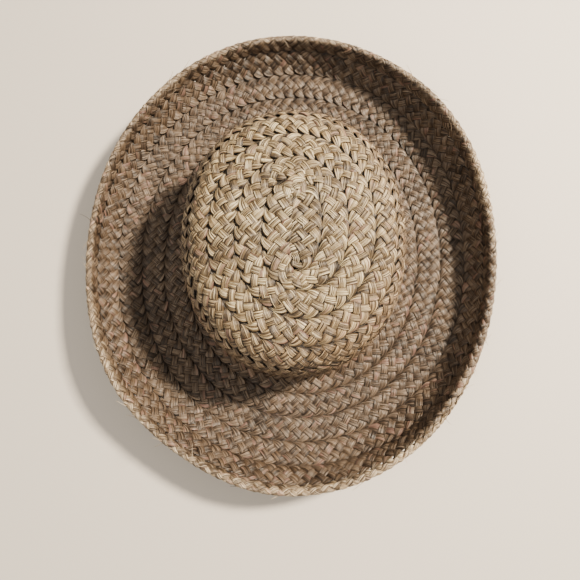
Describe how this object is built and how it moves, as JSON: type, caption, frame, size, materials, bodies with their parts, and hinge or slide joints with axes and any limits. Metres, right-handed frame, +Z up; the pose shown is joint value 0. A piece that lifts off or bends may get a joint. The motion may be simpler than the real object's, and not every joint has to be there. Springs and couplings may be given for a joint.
{
  "type": "raffia sun hat",
  "caption": "Braided raffia sun hat with a low oval crown, a brim turned up all round like a bowl and a rolled edge.",
  "frame": {"origin": "on the surface the hat rests on, under the middle of the brim's outline", "axes": "+Z up through the crown; +Y along the hat's long axis towards the back, where the brim is narrower; +X to the wearer's left"},
  "size_m": [0.3406, 0.3806, 0.0918],
  "materials": {
    "faded_raffia": "dry woven straw, sun-faded tan",
    "taupe_raffia": "dry woven straw, mauve taupe",
    "edge_raffia": "dry woven straw, taupe with paler worn strands"
  },
  "bodies": {
    "root": {"crown": "faded_raffia", "brim": "taupe_raffia", "brim_edge": "edge_raffia"}
  },
  "joints": []
}
